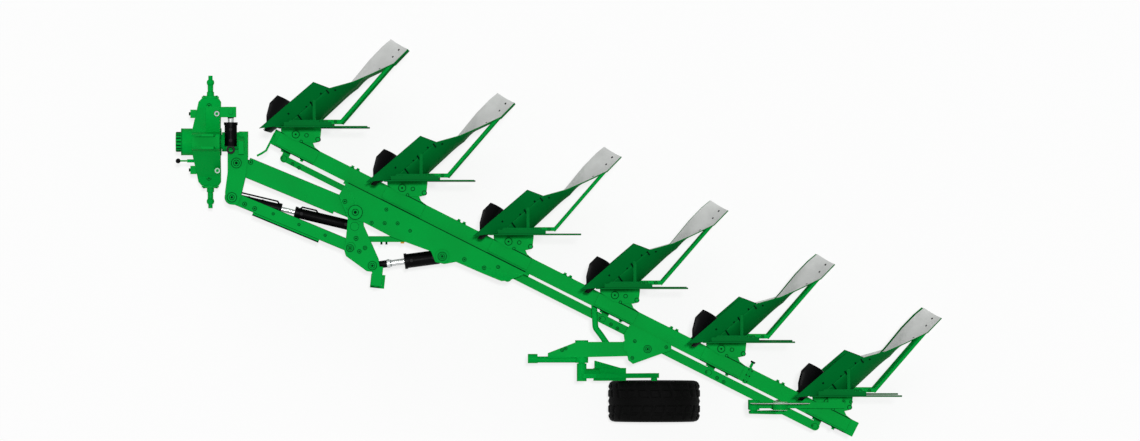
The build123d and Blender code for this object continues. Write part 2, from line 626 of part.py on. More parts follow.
def make_rod(shown, radius, hole, socket=None):
    """Piston rod along X, with its eye at the origin and its end deep in the barrel. Some have a socket."""
    rod = along_x(EYE_RADIUS - 8, shown + ROD_IN_BARREL, 0, 0, radius)
    if socket:
        length, socket_radius = socket
        rod += along_x(EYE_RADIUS, length, 0, 0, socket_radius)
        rod += along_x(length - COLLAR_LENGTH, length, 0, 0, socket_radius + COLLAR_PROUD)
    eye = Cylinder(EYE_RADIUS, 2 * EYE_HALF) + Pos(EYE_RADIUS, 0, 0) * Box(34, 1.6 * radius + 14, 1.6 * radius + 14)
    return joined(rod, eye) - Cylinder(hole, 100)


def make_barrel(length, shown, radius, rod_radius, hole):
    """Barrel along X with a gland at its open end and its eye at the far end."""
    end = length - EYE_RADIUS
    barrel = along_x(shown, end + 6, 0, 0, radius)
    barrel += along_x(shown, shown + COLLAR_LENGTH, 0, 0, radius + COLLAR_PROUD)
    barrel += Pos(length, 0, 0) * Cylinder(EYE_RADIUS, 2 * EYE_HALF)
    for x in (shown + 60, end - 40):
        barrel += Pos(x, 0, radius + 4) * Cylinder(14, 22)
    barrel -= along_x(shown - 1, shown + ROD_IN_BARREL + STROKE_ROOM, 0, 0, rod_radius + ROD_FIT)
    return barrel - Pos(length, 0, 0) * Cylinder(hole, 100)


def save_cylinder(name, rod_eye, barrel_eye, z, shown, radius, rod_radius, rod_hole, barrel_hole, socket=None):
    frame, length = cylinder_frame(rod_eye, barrel_eye, z)
    save(f"{name}_rod", frame * make_rod(shown, rod_radius, rod_hole, socket))
    save(f"{name}_barrel", frame * make_barrel(length, shown, radius, rod_radius, barrel_hole))


# Depth wheel on its trailing arm, which swings over with the plough
WHEEL_CENTRE = Vector(805.5, -1389)
WHEEL_RADIUS = 388.0
WHEEL_WIDTH = 349.0
RIM_RADIUS = 208.0
SHOULDER = 42.0
ARM_PIVOT_X = 194.5
SLEEVE_Y = (-1216.0, -872.0)
CARRIER_SLEEVE_Y = (-1062.0, -872.0)
SLEEVE_RADIUS = 41.0
ARM_SHAFT_RADIUS = 28.0
CARRIER_BOX = [(-90, -980), (153, -886), (585, -886), (585, -1005), (150, -1016), (-90, -1025)]
# Plan of the curved tube that braces the box arm against the beam
BRACE = [(299, -570), (310, -767), (361, -834), (419, -920)]
BRACE_RADIUS = 25.0
AXLE_RADIUS = 26.0


def make_tyre():
    r, w = WHEEL_RADIUS, WHEEL_WIDTH / 2
    profile = make_face(Polyline((RIM_RADIUS, -w + 30), (r - 70, -w), (r - 26, -w + 6), (r, -w + 42), (r, w - 42),
                                 (r - 26, w - 6), (r - 70, w), (RIM_RADIUS, w - 30), close=True))
    tyre = revolve(Plane.XY * profile, Axis.Y)
    return Pos(WHEEL_CENTRE.X, WHEEL_CENTRE.Y, WHEEL_RADIUS) * tyre


def make_rim():
    r, w = RIM_RADIUS, WHEEL_WIDTH / 2 - 30
    x, y = WHEEL_CENTRE.X, WHEEL_CENTRE.Y
    rim = along_y(y - w - 8, y + w + 8, x, WHEEL_RADIUS, r)
    rim -= along_y(y - w - 9, y + w + 9, x, WHEEL_RADIUS, r - 12)
    rim += along_y(y + 20, y + 34, x, WHEEL_RADIUS, r - 4)
    rim += along_y(y - 60, y + 96, x, WHEEL_RADIUS, 62)
    for k in range(6):
        a = radians(60 * k)
        rim += along_y(y + 30, y + 50, x + 95 * cos(a), WHEEL_RADIUS + 95 * sin(a), 13)
    return rim - along_y(y - 300, y + 300, x, WHEEL_RADIUS, AXLE_RADIUS + ROD_FIT)


def make_wheel_arm():
    """Shaft in the carrier's sleeve, arm down to the axle, and the axle itself."""
    x = ARM_PIVOT_X
    shaft = along_y(-1180, -880, x, BEAM_Z, ARM_SHAFT_RADIUS)
    hub = along_y(SLEEVE_Y[0], CARRIER_SLEEVE_Y[0] - GAP, x, BEAM_Z, SLEEVE_RADIUS)
    arm = side_plate([(x - 50, BEAM_Z), (x + 20, BEAM_Z + 62), (x + 120, BEAM_Z + 20), (WHEEL_CENTRE.X + 52, WHEEL_RADIUS),
                      (WHEEL_CENTRE.X - 10, WHEEL_RADIUS - 55), (WHEEL_CENTRE.X - 70, WHEEL_RADIUS + 10),
                      (x + 60, BEAM_Z - 80)], -1193, -1153, 20)
    axle = along_y(WHEEL_CENTRE.Y - 88, -1170, WHEEL_CENTRE.X, WHEEL_RADIUS, AXLE_RADIUS)
    fall = degrees(atan2(BEAM_Z - WHEEL_RADIUS, WHEEL_CENTRE.X - x))
    tube = along_x(0, 170, -1152, 0, SLEEVE_RADIUS)
    grip = block(160, 440, -1214, -1107, -45, 45)
    stop = plate([(170, -1045), (440, -1107), (440, -1120), (170, -1120)], -45, -29)
    held = Pos(x, 0, BEAM_Z) * Rot(0, fall, 0) * joined(tube, grip, stop)
    return joined(shaft, hub, arm, axle, held)


def make_carrier():
    """Bracket on the beam, box arm forward and the sleeve across for the wheel arm's shaft."""
    z = BEAM_Z
    near, far = beam_point(3225, -58), beam_point(3610, -58)
    bracket = [(547, -826), (near.X, near.Y), (far.X, far.Y), (949, -955), (625, -1071), (586, -1041), (560, -912)]
    plates = layers(bracket, (BEAM_SIZE / 2, BEAM_SIZE / 2 + 18), 8)
    box = plate(CARRIER_BOX, z - 55, z + 55)
    nose = along_x(-176, 150, -1034, z, 26)
    knob = along_x(-258, -176, -1026, z, 39)
    brace_path = FilletPolyline(*[(x, y, z) for x, y in BRACE], radius=60)
    start = brace_path @ 0
    brace = sweep(Plane(origin=start, z_dir=brace_path % 0) * Circle(BRACE_RADIUS), path=brace_path)
    brace -= on_beam(block(2700, 3600, -BEAM_SIZE / 2, BEAM_SIZE / 2, z - 100, z + 100))
    sleeve = along_y(*CARRIER_SLEEVE_Y, ARM_PIVOT_X, z, SLEEVE_RADIUS + 14)
    box += block(545, 640, -960, -880, z - 83, z + 83)
    whole = joined(plates, box, nose, knob, sleeve, brace)
    return whole - along_y(SLEEVE_Y[0] - 1, SLEEVE_Y[1] + 1, ARM_PIVOT_X, z, ARM_SHAFT_RADIUS + ROD_FIT)


def make_stand():
    """Perforated parking stand, hanging upright from its pivot with its foot on the ground."""
    post = block(-25, 25, -STAND_HALF, STAND_HALF, 14, STAND_LENGTH + 36)
    for k in range(9):
        post -= along_y(-30, 30, 0, 150 + 70 * k, 10)
    foot = side_plate([(-60, 14), (-60, 3), (-15, 0), (15, 0), (60, 3), (60, 14)], -58, 58)
    return at_stand(joined(post, foot) - along_y(-30, 30, 0, STAND_LENGTH, STAND_PIN_RADIUS + ROD_FIT))


def make_stand_pin():
    return at_stand(along_y(-50, 50, 0, STAND_LENGTH, STAND_PIN_RADIUS))


# Disc coulter beside the last body
DISC_RADIUS = 250.0
LAST_TIP = FIRST_TIP + ALONG * ((BODY_COUNT - 1) * BODY_SPACING)
LAST_PIVOT = LAST_TIP + PIVOT_FROM_TIP
DISC_CENTRE = LAST_TIP + Vector(-104, -40)
DISC_Z = 330.0
DISC_THICKNESS = 6.0


def make_disc(z):
    x, y = DISC_CENTRE.X, DISC_CENTRE.Y
    disc = along_y(y - DISC_THICKNESS / 2, y + DISC_THICKNESS / 2, x, z, DISC_RADIUS)
    disc += along_y(y - 60, y + 12, x, z, 60)
    return disc - along_y(y - 100, y + 100, x, z, 20 + ROD_FIT)


def make_coulter_arm():
    """Arm from the last console forward, a knee at its end, and the axle of the disc."""
    x, y = DISC_CENTRE.X, DISC_CENTRE.Y
    front, leg_x = x - 216, LAST_PIVOT.X
    leg_face = LAST_PIVOT.Y + LEG_FROM_TIP_Y + 4 - PIVOT_FROM_TIP.Y
    arm = block(front + 20, leg_x + 141, y - 46, y + 6, 626, 686)
    arm += block(leg_x + 3, leg_x + 121, y - 10, leg_face, 626, 686)
    knee = along_y(y - 60, y + 22, front, 656, 46)
    down = side_plate([(front - 40, 690), (front + 40, 690), (x + 50, DISC_Z - 30), (x - 40, DISC_Z - 40)], y - 92, y - 70)
    cross = along_y(y - 92, y - 20, front, 656, 28)
    axle = along_y(y - 92, y + 18, x, DISC_Z, 20)
    return joined(arm, knee, down, cross, axle)


# Every piece, saved under its own name
save("beam", make_beam())
save("console_lugs", make_lugs())
save("console_pins", Compound([place_body(make_pivot_pin(), k) for k in range(BODY_COUNT)]))
save("control_rod", make_control_rod())
save("steering_pins", Compound([place_body(make_steering_pin(), k) for k in range(BODY_COUNT)]))
save("frame_plates", make_frame_plates())
save("frame_pins", pin_at(FRAME_CYLINDER, FRAME_LAYER[1] + 12))
save("swing_lever", make_swing_lever())
save("lever_pins", Compound([pin_at(LEVER_ARM, LEVER_LAYER[1], head=4), pin_at(LEVER_CYLINDER, LEVER_LAYER[1]),
                             pin_at(WIDTH_EYE, LEVER_LAYER[1], head=4), pin_at(LEVER_FRAME, FRAME_LAYER[1] + 12)]))
save("upper_arm", make_upper_arm())
save("lower_arm", make_lower_arm())
save("turning_head", make_turning_head())
save("head_pins", Compound([pin_at(HEAD_UPPER, LEVER_LAYER[1]), pin_at(HEAD_LOWER, LEVER_LAYER[1])]))
save("headstock", make_headstock())
save("turn_bracket", make_turn_bracket())
save("cross_shaft", make_cross_shaft())
save("link_balls", make_link_balls())
save_cylinder("width_cylinder", HEAD_LOWER, WIDTH_EYE, BEAM_Z, 540, 44, 20, LINK_PIN_RADIUS + OPEN_EYE_CLEARANCE,
              LINK_PIN_RADIUS + PIN_CLEARANCE, (427, 40))
save_cylinder("swing_cylinder", LEVER_CYLINDER, FRAME_CYLINDER, BEAM_Z, 270, 60, 26,
              LINK_PIN_RADIUS + OPEN_EYE_CLEARANCE, LINK_PIN_RADIUS + PIN_CLEARANCE, (147, 31))
save_cylinder("turn_cylinder", TURN_ROD_EYE, TURN_BARREL_EYE, TURN_CYLINDER_Z, 85, 52, 24.5, 20, 20)

bare_console = make_console()
for k in range(BODY_COUNT):
    whole = place_body(bare_console, k)
    for solid in body_solids(make_leg, k):
        whole += solid
    save(f"console_{k + 1}", whole)
    save(f"shares_{k + 1}", Compound(body_solids(make_share, k) + body_solids(make_landside, k)))
    save(f"mouldboards_{k + 1}", Compound(body_solids(make_board, k)))
    save(f"skimmers_{k + 1}", Compound(body_solids(make_skimmer_on_stalk, k)))

save("tyre", make_tyre())
save("wheel_rim", make_rim())
save("wheel_arm", make_wheel_arm())
save("wheel_carrier", make_carrier())
save("stand", make_stand())
save("stand_pin", make_stand_pin())
save("coulter_arms", both(make_coulter_arm()))
save("coulter_disc_lower", make_disc(DISC_Z))
save("coulter_disc_upper", make_disc(2 * BEAM_Z - DISC_Z))
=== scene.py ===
# %% [markdown]
# # A mounted reversible plough, seen straight from above
# The steel frame, bodies and cylinders come from the CAD model, which is in metres with the ground at
# z = 0. Here each of its pieces gets rounded edges and a finish, and the small parts that only matter
# to the eye are made on top: bolts, dark lines of painted shade, steel pipes and the tyre's tread. Around
# the plough stand the camera, two lamps and a white floor.

# %% Setting up
import json
import math

import bmesh
import bpy
from mathutils import Matrix, Vector
from mathutils.bvhtree import BVHTree


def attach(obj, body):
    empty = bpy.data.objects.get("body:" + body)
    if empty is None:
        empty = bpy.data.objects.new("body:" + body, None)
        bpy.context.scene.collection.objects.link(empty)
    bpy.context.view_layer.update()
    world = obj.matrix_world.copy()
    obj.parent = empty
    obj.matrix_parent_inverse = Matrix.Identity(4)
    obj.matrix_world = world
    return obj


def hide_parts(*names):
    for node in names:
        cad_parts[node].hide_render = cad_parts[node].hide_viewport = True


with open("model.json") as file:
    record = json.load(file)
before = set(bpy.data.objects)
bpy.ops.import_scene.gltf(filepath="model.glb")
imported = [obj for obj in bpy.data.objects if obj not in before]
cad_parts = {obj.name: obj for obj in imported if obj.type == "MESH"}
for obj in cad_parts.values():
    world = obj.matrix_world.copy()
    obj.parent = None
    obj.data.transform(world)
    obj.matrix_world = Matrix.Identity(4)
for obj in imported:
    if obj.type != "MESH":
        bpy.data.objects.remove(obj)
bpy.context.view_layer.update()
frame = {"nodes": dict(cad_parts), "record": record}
bodies_of = frame["record"]["behaviour"]["bodies"]
body_with = {node: body for body, members in bodies_of.items() for node in members}
print("CAD pieces:", len(frame["nodes"]), "bodies:", len(bodies_of))

# %% [markdown]
# ## Camera
# The photograph is a plan view without perspective. A very long lens far above the plough comes close
# to that and still works from other sides, where an orthographic camera would keep its own crop. The
# frame is 1140 by 441 pixels, and one pixel is 8.382 mm at the height of the upper bodies.

# %% The camera looks straight down, with the ploughed side at the top of the frame
MM = 0.001
PIXEL = 8.382 * MM
PHOTO_MIDDLE = Vector((570.0, 220.5))
ORIGIN_IN_PHOTO = Vector((558.5, 236.5))
FRAME_WIDTH = 1140 * PIXEL
SCALE_HEIGHT = 1.2
LENS = 500.0
SENSOR = 36.0

camera_data = bpy.data.cameras.new("camera")
camera_data.lens = LENS
camera_data.sensor_width = SENSOR
camera_data.clip_end = 1000.0
camera = bpy.data.objects.new("camera", camera_data)
camera.location.x = (PHOTO_MIDDLE.x - ORIGIN_IN_PHOTO.x) * PIXEL
camera.location.y = (ORIGIN_IN_PHOTO.y - PHOTO_MIDDLE.y) * PIXEL
camera.location.z = SCALE_HEIGHT + FRAME_WIDTH * LENS / SENSOR
bpy.context.scene.collection.objects.link(camera)
bpy.context.scene.camera = camera
print("camera height", round(camera.location.z, 1), "m")

# %% [markdown]
# ## Shader maths as Python
# A finish is a recipe of masks and noises. Building it link by link is long, so one small class wraps
# a socket, and the usual operators add the Math nodes.

# %% A socket that can be added, multiplied and mixed


class Sock:
    """A node socket with Python's operators."""

    def __init__(self, tree, socket):
        self.tree, self.socket = tree, socket

    def node(self, kind, settings=None, **inputs):
        """Adds a node, sets it up, then its sockets, given as s0, s1 or by their names."""
        made = self.tree.nodes.new(kind)
        for key, value in (settings or {}).items():
            setattr(made, key, value)
        for key, value in inputs.items():
            name = int(key[1:]) if key[0] == "s" and key[1:].isdigit() else key.replace("_", " ")
            target = made.inputs[name]
            if isinstance(value, Sock):
                self.tree.links.new(value.socket, target)
            else:
                target.default_value = value
        return made

    def out(self, kind, settings=None, output=0, **inputs):
        return Sock(self.tree, self.node(kind, settings, **inputs).outputs[output])

    def maths(self, operation, other):
        return self.out("ShaderNodeMath", {"operation": operation}, s0=self, s1=other)

    def __add__(self, other):
        return self.maths("ADD", other)

    def __mul__(self, other):
        return self.maths("MULTIPLY", other)

    __radd__, __rmul__ = __add__, __mul__

    def over(self, low, high):
        """0 below low and 1 above high, smooth between."""
        return self.out("ShaderNodeMapRange", {"interpolation_type": "SMOOTHSTEP"}, Value=self,
                        From_Min=low, From_Max=high)

    def blend(self, first, second):
        """A colour mixed by this socket."""
        return self.out("ShaderNodeMix", {"data_type": "RGBA"}, output=2, s0=self, s6=first, s7=second)


def finish(name):
    """A new material, its shader and its wrapped object coordinates."""
    material = bpy.data.materials.new(name)
    material.use_nodes = True
    tree = material.node_tree
    shader = tree.nodes["Principled BSDF"]
    place = Sock(tree, None).out("ShaderNodeTexCoord", output=3)
    return material, shader, place


def noise(place, scale, detail=3.0, roughness=0.5):
    return place.out("ShaderNodeTexNoise", Vector=place, Scale=scale, Detail=detail, Roughness=roughness)


def connect(shader, name, value):
    value.tree.links.new(value.socket, shader.inputs[name])


def bump(shader, height, strength, distance):
    normal = height.out("ShaderNodeBump", Height=height, Strength=strength, Distance=distance)
    connect(shader, "Normal", normal)


def linear(r, g, b):
    """A screen colour from 0 to 255 as the linear colour that a shader takes."""
    parts = [c / 255 for c in (r, g, b)]
    return (*(p / 12.92 if p <= 0.04045 else ((p + 0.055) / 1.055) ** 2.4 for p in parts), 1.0)


def dimmed(colour, share):
    return tuple(part * share for part in colour[:3]) + (1.0,)


# %% [markdown]
# ## Finishes
# The drawing's colours are flat, so the paint shines very little. A slow cloud makes it a tenth darker
# in places, and a fine orange peel breaks its gloss. The mouldboards' faces are bare steel with long
# scratches, the cylinders are black with bright rods, and the tyre is dull rubber.

# %% Paint, steel and rubber
GREEN = linear(0, 160, 60)
# a darker copy of the green paint: painted shade
GREEN_IN_SHADE = linear(0, 112, 44)
# a very dark green: painted shade for edges, seams, slots and the rims of washers and nuts
EDGE_SHADE_GREEN = linear(0, 36, 15)
BLACK = linear(3, 3, 4)
STEEL = linear(212, 214, 212)
PLATING = linear(225, 228, 228)
ZINC = linear(150, 160, 158)
AMBER = linear(214, 150, 40)
RUBBER_DARK = linear(2, 2, 2)
RUBBER_LIGHT = linear(6, 6, 6)
DRAWN_OUT = (2.0, 2.0, 60.0)


def sprayed_paint(name, colour, gloss=0.42, shine=0.012):
    material, shader, place = finish(name)
    cloud = noise(place, 3.0, 4.0)
    peel = noise(place, 240.0, 2.0)
    connect(shader, "Base Color", cloud.over(0.3, 0.75).blend(dimmed(colour, 0.9), colour))
    connect(shader, "Roughness", gloss + cloud * 0.12)
    shader.inputs["Specular IOR Level"].default_value = shine
    bump(shader, peel, 0.05, 0.0006)
    return material


def ground_steel(name, colour, roughness=0.45, scratch=0.15):
    material, shader, place = finish(name)
    lines = noise(place.out("ShaderNodeMapping", Vector=place, Scale=DRAWN_OUT), 30.0, 5.0, 0.6)
    cloud = noise(place, 5.0, 3.0)
    tone = (lines * 0.5 + cloud * 0.5).over(0.25, 0.8)
    connect(shader, "Base Color", tone.blend(dimmed(colour, 0.72), colour))
    connect(shader, "Roughness", roughness + lines * 0.2)
    shader.inputs["Metallic"].default_value = 0.35
    shader.inputs["Specular IOR Level"].default_value = 0.25
    bump(shader, lines, scratch, 0.0004)
    return material


def tyre_rubber(name):
    material, shader, place = finish(name)
    grain = noise(place, 90.0, 4.0)
    connect(shader, "Base Color", grain.blend(RUBBER_DARK, RUBBER_LIGHT))
    connect(shader, "Roughness", 0.66 + grain * 0.2)
    shader.inputs["Specular IOR Level"].default_value = 0.06
    bump(shader, grain, 0.25, 0.0012)
    return material


PAINT = sprayed_paint("green_paint", GREEN)
# painted shade: the same green paint, darker, for the dark_green_paint slot and for the frogs
PAINT_IN_SHADE = sprayed_paint("dark_green_paint", GREEN_IN_SHADE, gloss=0.46)
# painted shade: bevelled edges, rims of washers and nuts, bolt ends, seams, slots and lines along joints
SHADE_PAINT = sprayed_paint("painted_edge_shade", EDGE_SHADE_GREEN, gloss=0.5)
BLACK_PAINT = sprayed_paint("black_paint", BLACK, gloss=0.36, shine=0.05)
AMBER_PLASTIC = sprayed_paint("amber_plastic", AMBER)
WORN = ground_steel("worn_steel", STEEL)
PLATED = ground_steel("plated_rod", PLATING, roughness=0.12, scratch=0.03)
ZINCED = ground_steel("zinc", ZINC, roughness=0.4)
RUBBER = tyre_rubber("tyre_rubber")
PAINTED_PINS = sprayed_paint("painted_pins", GREEN, gloss=0.4)

# %% The finish of each slot, where the drawing has the pins of the zinc slot painted over
# the dark_green_paint slot takes the darker copy of the green, which is painted shade
FINISH = {"green_paint": PAINT, "dark_green_paint": PAINT_IN_SHADE, "black_paint": BLACK_PAINT,
          "worn_steel": WORN, "plated_rod": PLATED, "zinc": PAINTED_PINS, "tyre_rubber": RUBBER}
print("finishes:", len(FINISH))

# %% [markdown]
# ## Rounded edges
# Flame-cut plate and welded box steel never have razor edges. A copy of each CAD piece has its loose
# triangles merged, flat faces joined again, and a small bevel. On green pieces the bevel is darker, for
# the drawing's outlines: painted shade along every edge. The copy stands for the CAD piece, which stays
# in the physics model.

# %% A dressed copy of a CAD piece
slot_of = {piece["node"]: piece["material_slot"] for piece in frame["record"]["subparts"]}
EDGE_ROUND = 0.006
SHARP = math.radians(32)


def merged(node):
    """A bmesh of a CAD piece, with shared corners and flat faces made one."""
    bm = bmesh.new()
    bm.from_mesh(frame["nodes"][node].data)
    bmesh.ops.remove_doubles(bm, verts=bm.verts, dist=1e-5)
    bmesh.ops.dissolve_limit(bm, angle_limit=math.radians(0.4), verts=bm.verts, edges=bm.edges)
    return bm


def piece_from(bm, name, body, materials):
    """An object made of a bmesh, which rides with a body."""
    mesh = bpy.data.meshes.new(name)
    bm.to_mesh(mesh)
    bm.free()
    for material in materials:
        mesh.materials.append(material)
    piece = bpy.data.objects.new(name, mesh)
    bpy.context.scene.collection.objects.link(piece)
    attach(piece, body)
    return piece


def smooth_shade(mesh, angle=SHARP):
    mesh.shade_smooth()
    mesh.set_sharp_from_angle(angle=angle)


def dress(node):
    paint = FINISH[slot_of[node]]
    # a green piece's bevel takes the painted edge shade, other pieces keep their own finish there
    rim = SHADE_PAINT if paint in (PAINT, PAINT_IN_SHADE, PAINTED_PINS) else paint
    piece = piece_from(merged(node), node + "_dressed", body_with[node], [paint, rim])
    smooth_shade(piece.data)
    bevel = piece.modifiers.new("edge", "BEVEL")
    bevel.width = EDGE_ROUND
    bevel.segments = 2
    bevel.limit_method = "ANGLE"
    bevel.angle_limit = SHARP
    bevel.harden_normals = True
    bevel.material = 1
    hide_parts(node)


for node in frame["nodes"]:
    if node != "tyre":
        dress(node)
print("dressed pieces:", len(frame["nodes"]) - 1)

# %% [markdown]
# ## Pieces with two finishes
# The back of a mouldboard is painted, and its face is bare steel that the soil keeps bright. The frogs
# between share and board get a darker copy of the green, which is painted shade. The end of each piston
# rod is a black socket. The coulters' discs are green in the drawing.

# %% A second finish, face by face
BODIES = range(1, 7)
BEAM_HEIGHT = 0.865
WORKING_SIDE = Vector((-0.66, 0.75, 0.0))
FROG_FROM_BEAM = 0.575
HEAD_LOWER = (-2.743, 0.329)
LEVER_CYLINDER = (-1.563, -0.245)
TURN_ROD_EYE = (-2.750, 1.043)
# node of the rod, its eye in plan and how far the socket reaches from it
SOCKETS = [("width_cylinder_rod", HEAD_LOWER, 0.4275),
           ("swing_cylinder_rod", LEVER_CYLINDER, 0.1235),
           ("turn_cylinder_rod", TURN_ROD_EYE, 0.046)]


def recolour(node, material, chosen):
    """Gives the faces that chosen(face) picks another finish."""
    mesh = bpy.data.objects[node + "_dressed"].data
    mesh.materials.append(material)
    for face in mesh.polygons:
        if chosen(face):
            face.material_index = len(mesh.materials) - 1


def on_working_side(face):
    return WORKING_SIDE.dot(face.normal) > 0.3


def on_frog(face):
    return abs(face.center.z - BEAM_HEIGHT) > FROG_FROM_BEAM


def everywhere(face):
    return True


def near(eye, reach):
    """A test for the faces less than reach from a pivot in plan."""
    def test(face):
        return (face.center.xy - Vector(eye)).length < reach
    return test


for number in BODIES:
    recolour(f"mouldboards_{number}", WORN, on_working_side)
    # the frogs get the darker copy of the green: painted shade
    recolour(f"console_{number}", PAINT_IN_SHADE, on_frog)
for node, eye, reach in SOCKETS:
    recolour(node, BLACK_PAINT, near(eye, reach))
for node in ("coulter_disc_lower", "coulter_disc_upper"):
    recolour(node, PAINT, everywhere)

# %% [markdown]
# ## Small parts
# Bolts, pins' rings, pipes and the like only matter to the eye. Each is set down on the highest surface
# at its place in plan and rides with the body that it stands on.

# %% A collector that turns many small solids into one piece
heaps = {}


def heap(body, material):
    """The bmesh that collects the small solids of one body and finish."""
    key = (body, material)
    if key not in heaps:
        heaps[key] = bmesh.new()
    return heaps[key]


def bar(body, material, start, end, radius, sides=20):
    """A round bar, or a hexagonal one with sides=6, from start to end in metres."""
    start, end = Vector(start), Vector(end)
    turn = (end - start).to_track_quat("Z", "Y").to_matrix().to_4x4()
    bmesh.ops.create_cone(heap(body, material), cap_ends=True, segments=sides, radius1=radius,
                          radius2=radius, depth=(end - start).length,
                          matrix=Matrix.Translation((start + end) / 2) @ turn)


def brick(body, material, centre, size, turn=0.0):
    matrix = Matrix.Translation(centre) @ Matrix.Rotation(turn, 4, "Z") @ Matrix.Diagonal((*size, 1.0))
    bmesh.ops.create_cube(heap(body, material), size=1.0, matrix=matrix)


def ball(body, material, centre, radius):
    bmesh.ops.create_uvsphere(heap(body, material), u_segments=24, v_segments=16, radius=radius,
                              matrix=Matrix.Translation(centre))


def pipe(body, material, points, radius):
    """A bent pipe: a bar along each stretch and a ball at each bend."""
    for start, end in zip(points, points[1:]):
        bar(body, material, start, end, radius, 14)
    for point in points[1:-1]:
        ball(body, material, point, radius)


# %% [markdown]
# A ray from far above, or from far below, finds the surface that a fitting stands on.

# %% The outer surface at a place in plan
RAY_START = 5.0

trees = {}
for node, piece in frame["nodes"].items():
    bm = bmesh.new()
    bm.from_mesh(piece.data)
    trees[node] = BVHTree.FromBMesh(bm)
    bm.free()


def surface(x, y, nodes=None, side=1):
    """The highest point at x and y, or the lowest with side=-1: its height, normal and body."""
    best = None
    for node in nodes or trees:
        hit, normal = trees[node].ray_cast(Vector((x, y, side * RAY_START)), Vector((0, 0, -side)))[:2]
        if hit is not None and (best is None or side * hit.z > side * best[0]):
            best = (hit.z, normal, body_with[node])
    return best


def stack(body, x, y, z, layers, side=1):
    """Discs and nuts on one another, with x, y and the layers in millimetres and z in metres."""
    for material, radius, low, high, sides in layers:
        bar(body, material, (x * MM, y * MM, z + side * low * MM), (x * MM, y * MM, z + side * high * MM),
            radius * MM, sides)


print("surfaces:", len(trees))

# %% [markdown]
# ### Pins, rings and bolts of the front linkage
# Lengths are in millimetres, in plan from the machine's origin. A ring is a washer with a nut and a
# bolt's end on it; the dark rims around washer and nut and the dark bolt's end are painted shade.

# %% Ring marks around the pins, and bolts on the plates
# x, y, radius of the washer, radius of the nut
RINGS = [(-2705, 617, 44, 24), (-2743, 329, 42, 20), (-1706, 203, 62, 26), (-1563, -245, 38, 20),
         (-976, -167, 38, 20), (-1751, -98, 32, 16), (748, -946, 34, 18)]
# x, y, radius of the head
BOLTS = [(-2586, 624, 17), (-2636, 272, 16), (-2552, 235, 15), (-1794, 294, 16), (-1569, 114, 12),
         (-1460, 112, 12), (-1351, 110, 12), (-1700, -16, 16), (-1673, -125, 14), (-1625, -96, 14),
         (-1446, 226, 12), (-791, -193, 14), (-625, -263, 14), (-507, -256, 12), (-2396, 190, 9),
         (-2180, 100, 9), (-1960, 10, 9), (-2940, 1100, 16), (-2940, 490, 16), (-1246, 47, 10),
         (620, -1020, 11), (640, -880, 11), (905, -930, 11), (30, -955, 11), (60, -940, 11)]
# x, y of the round bosses on the housing, which start inside it
BOSSES = [(-2866, 1030), (-2866, 553)]
BOSS_FOOT = 0.80
BOSS_TOP = 0.90


def bolt(x, y, radius, side=1, nodes=None):
    """A bolt's head on a dark washer, where the pieces have a surface at that place. The washer and the
    bolt's end are painted shade.
    """
    place = surface(x * MM, y * MM, nodes, side)
    if place is not None:
        z, normal, body = place
        stack(body, x, y, z, [(SHADE_PAINT, radius + 4, -2, 1.5, 20), (PAINT, radius, 0, 9, 6),
                              (SHADE_PAINT, radius * 0.45, 9, 11, 12)], side)


for x, y, outer, inner in RINGS:
    z, normal, body = surface(x * MM, y * MM)
    stack(body, x, y, z, [(SHADE_PAINT, outer, -2, 1.2, 40), (PAINT, outer - 5, 0, 4, 40),
                          (SHADE_PAINT, inner + 3, 4, 5, 30), (PAINT, inner, 4, 14, 6),
                          (SHADE_PAINT, inner * 0.5, 14, 18, 16)])
for x, y in BOSSES:
    z = max(surface(x * MM, y * MM)[0], BOSS_TOP)
    bar("headstock", PAINT, (x * MM, y * MM, BOSS_FOOT), (x * MM, y * MM, z), 0.026, 32)
    stack("headstock", x, y, z, [(ZINCED, 22, 0, 4, 32), (PAINT, 14, 0, 9, 6)])
for x, y, radius in BOLTS:
    bolt(x, y, radius)
print("rings:", len(RINGS), "bolts:", len(BOLTS))

# %% [markdown]
# ### Along the beam
# Each console is clamped by bolts whose heads stand out at the beam's sides. Places are given by the
# station along the beam and the offset across it, in millimetres.

# %% Bolts at the beam's sides
BEAM_START = Vector((-2.25145, 0.76680))
ALONG = Vector((0.893029, -0.45))
ACROSS = Vector((0.45, 0.893029))
BEAM_TURN = -math.asin(0.45)
SPACING = 1000
BEAM_SIDE = 64
WASHER_FACE = 69
NUT_FACE = 83
NUT_HEIGHTS = (0.905, 0.825)
# station from a body's own, side of the beam
FRONT_BOLTS = [(-40, -1), (140, -1)]
LUG_BOLTS = [(548, 1), (598, 1)]


def on_beam(station, offset):
    return BEAM_START + ALONG * (station * MM) + ACROSS * (offset * MM)


for number in BODIES:
    body_station = (number - 1) * SPACING
    # no lug follows the last body
    for station, side in FRONT_BOLTS + (LUG_BOLTS if number < 6 else []):
        for z in NUT_HEIGHTS:
            start, washer, end = [on_beam(body_station + station, side * offset)
                                  for offset in (BEAM_SIDE, WASHER_FACE, NUT_FACE)]
            # the dark washer is painted shade around the nut
            bar("frame", SHADE_PAINT, (*start, z), (*washer, z), 0.019, 20)
            bar("frame", PAINT, (*washer, z), (*end, z), 0.014, 6)

# %% Dark lines of painted shade along the lugs on the beam and along the frame plate, above and mirrored below
SHADE_STRIP_WIDTH, SHADE_STRIP_HEIGHT = 0.007, 0.003
LUG_EDGE_SHADE = (-122, 243)
LUG_SHADE_OFFSETS = (62, -62)
LUG_SHADE_LIFT = 0.0805
PLATE_EDGE_SHADE = (575, 2235)
PLATE_SHADE_OFFSET = -64
PLATE_SHADE_LIFT = 0.1185


